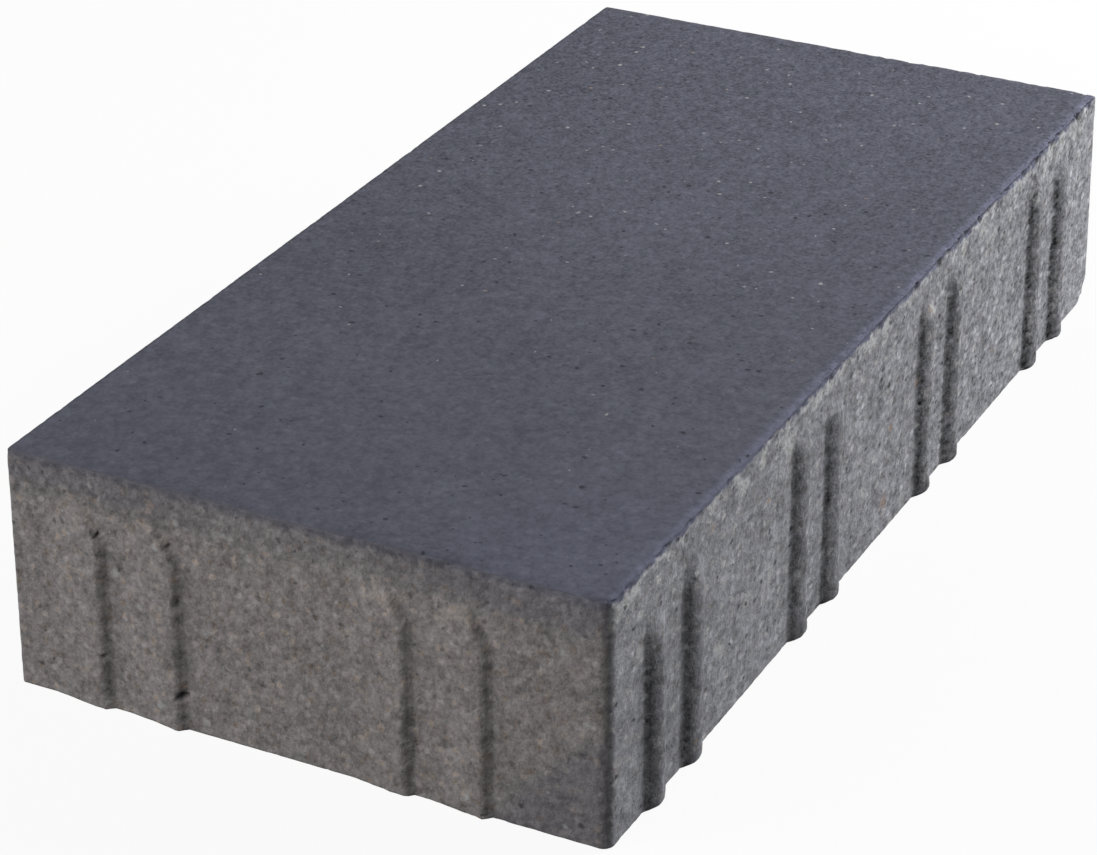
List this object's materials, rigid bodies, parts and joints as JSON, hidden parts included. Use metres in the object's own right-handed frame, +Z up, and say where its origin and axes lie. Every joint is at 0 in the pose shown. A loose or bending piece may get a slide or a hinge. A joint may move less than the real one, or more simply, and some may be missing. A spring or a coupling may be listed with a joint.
{
  "type": "concrete paving stone",
  "caption": "Flat rectangular concrete block paver for a laid path, with upright round spacer ribs in pairs on its sides and ends that set the joint to the next stone",
  "frame": {"origin": "middle of the bed face, which lies on the ground", "axes": "X along the length, Y along the width, Z up out of the wearing face"},
  "size_m": [0.1998, 0.0998, 0.04],
  "materials": {
    "concrete": "matte, fine-grained, anthracite wearing face and greyer granular sides"
  },
  "bodies": {
    "root": {"paving_stone": "concrete"}
  },
  "joints": []
}
